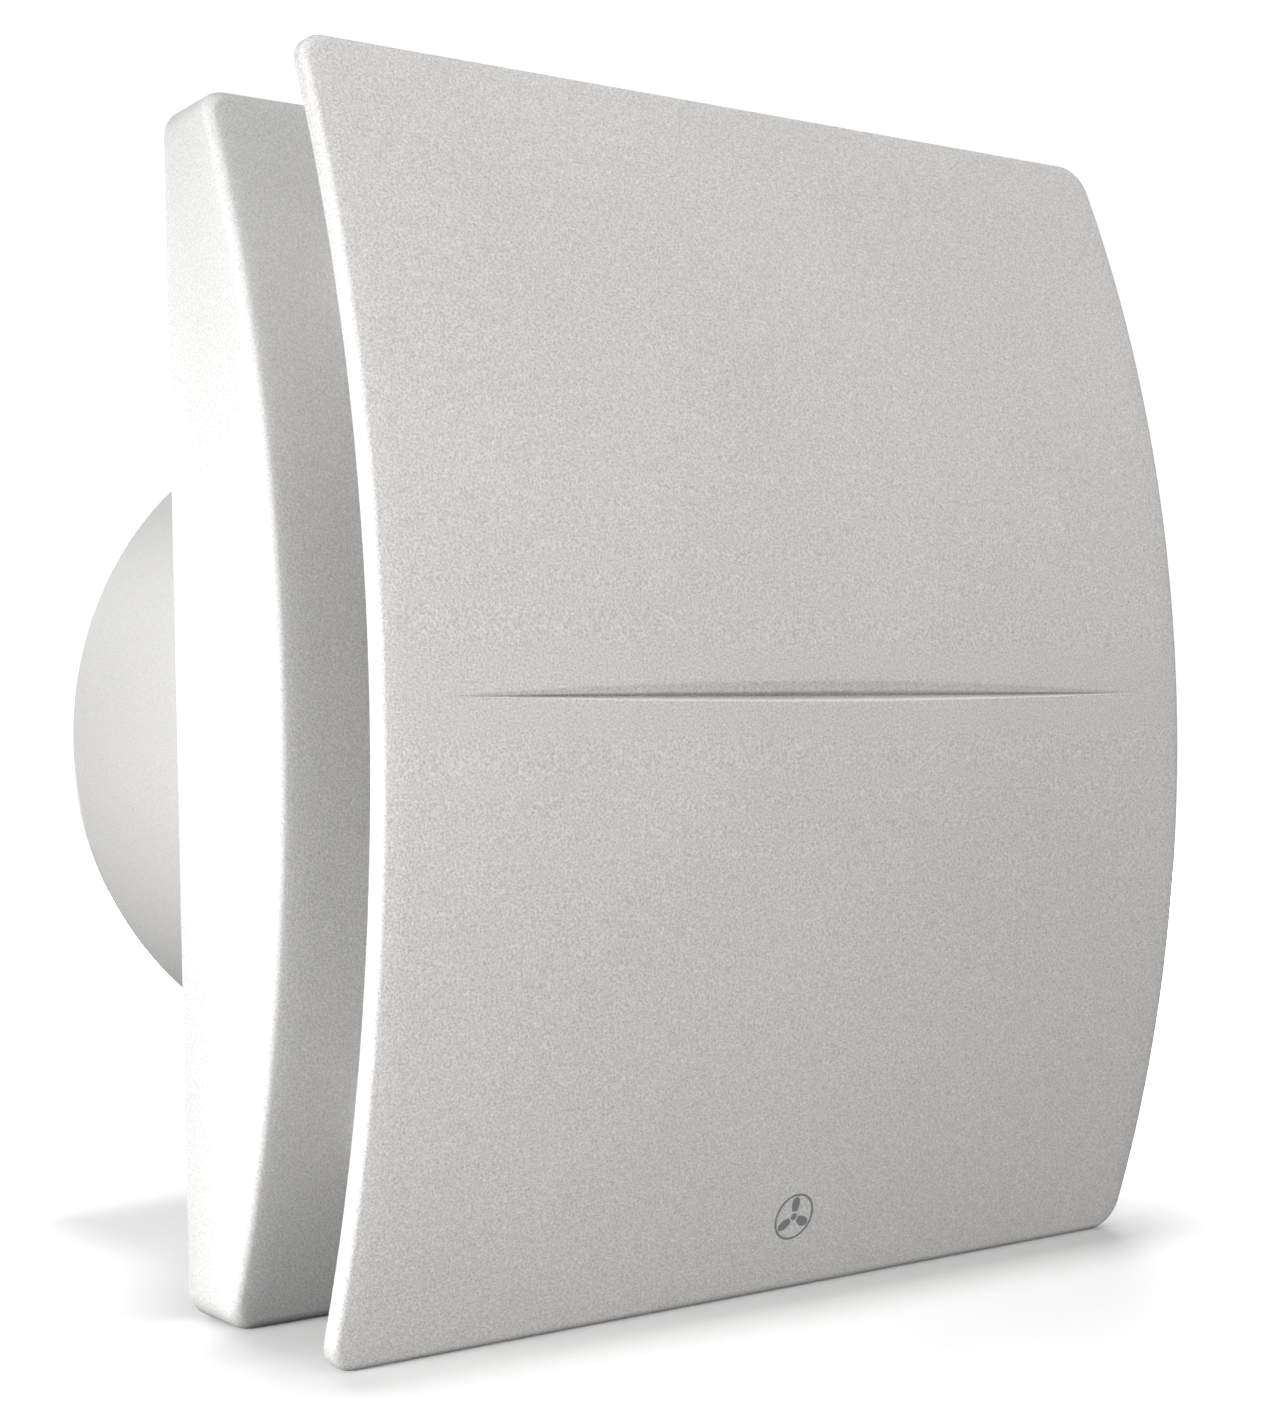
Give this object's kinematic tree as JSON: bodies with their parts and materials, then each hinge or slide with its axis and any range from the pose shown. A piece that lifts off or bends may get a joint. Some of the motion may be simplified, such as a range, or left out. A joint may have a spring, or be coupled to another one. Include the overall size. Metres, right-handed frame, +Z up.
{
  "type": "bathroom extractor fan",
  "caption": "Wall-mounted axial bathroom extractor fan with a bowed cover panel standing off a matching casing, a round duct spigot behind, impeller, motor and backdraft damper.",
  "frame": {"origin": "on the axis of the duct spigot and impeller, in the wall plane that the back of the casing rests on; the outline's centre is 3 mm above it", "axes": "+X to the right seen from the room, +Y into the wall and duct, +Z up; the cover panel faces -Y"},
  "size_m": [0.149, 0.1368, 0.18],
  "materials": {
    "front_panel": "white ABS, fine spark-eroded grain, satin",
    "casing": "white ABS, fine spark-eroded grain, satin",
    "base": "white ABS, smooth moulded",
    "inner_white": "white ABS, smooth moulded",
    "impeller": "pale grey glass-filled plastic, satin",
    "damper": "thin pale grey plastic leaf, satin",
    "stud": "pale acetal, smooth",
    "rubber": "black moulded rubber, matte",
    "zinc_screw": "zinc-plated steel",
    "terminal_body": "ivory polyamide, slightly glossy",
    "terminal_brass": "brass, machined",
    "steel": "ground steel",
    "laminations": "stacked electrical steel, varnished",
    "copper_winding": "enamelled copper wire",
    "lead_brown": "brown PVC insulation",
    "lead_blue": "blue PVC insulation"
  },
  "bodies": {
    "housing": {"casing_shell": "casing", "base_plate": "base", "duct_spigot": "base", "inlet_guard": "inner_white", "motor_carrier": "inner_white", "motor_cover": "inner_white", "stud_bush_upper_left": "rubber", "stud_bush_upper_right": "rubber", "stud_bush_lower_left": "rubber", "stud_bush_lower_right": "rubber", "cable_grommet": "rubber", "casing_screw_upper": "zinc_screw", "casing_screw_lower": "zinc_screw", "clamp_screw_left": "zinc_screw", "clamp_screw_right": "zinc_screw", "motor_cover_screw_1": "zinc_screw", "motor_cover_screw_2": "zinc_screw", "motor_cover_screw_3": "zinc_screw", "terminal_block": "terminal_body", "cable_clamp": "terminal_body", "terminal_screw_supply_1": "terminal_brass", "terminal_screw_supply_2": "terminal_brass", "terminal_screw_supply_3": "terminal_brass", "terminal_screw_motor_1": "terminal_brass", "terminal_screw_motor_2": "terminal_brass", "terminal_screw_motor_3": "terminal_brass", "bearing_front": "steel", "bearing_rear": "steel", "damper_spindle": "steel", "stator_core": "laminations", "stator_winding_front": "copper_winding", "stator_winding_rear": "copper_winding", "motor_lead_live": "lead_brown", "motor_lead_neutral": "lead_blue"},
    "rotor": {"motor_shaft": "steel", "motor_rotor": "laminations", "impeller": "impeller", "impeller_clip": "steel"},
    "panel": {"front_panel": "front_panel", "panel_stud_upper_left": "stud", "panel_stud_upper_right": "stud", "panel_stud_lower_left": "stud", "panel_stud_lower_right": "stud"},
    "flap_left": {"damper_flap_left": "damper", "damper_spring_left": "steel"},
    "flap_right": {"damper_flap_right": "damper", "damper_spring_right": "steel"}
  },
  "joints": [
    {"name": "impeller_spin", "type": "hinge", "parent": "housing", "child": "rotor", "pos_m": [0, 0, 0], "axis": [0, -1, 0], "continuous": true},
    {"name": "panel_pull", "type": "slide", "parent": "housing", "child": "panel", "axis": [0, -1, 0], "range_m": [0, 0.02]},
    {"name": "flap_left_open", "type": "hinge", "parent": "housing", "child": "flap_left", "pos_m": [0, 0.067, 0], "axis": [0, 0, -1], "range_deg": [0, 80], "stiffness_Nm_per_rad": 0.002, "springref_deg": -17.19},
    {"name": "flap_right_open", "type": "hinge", "parent": "housing", "child": "flap_right", "pos_m": [0, 0.067, 0], "axis": [0, 0, 1], "range_deg": [0, 80], "stiffness_Nm_per_rad": 0.002, "springref_deg": -17.19}
  ]
}
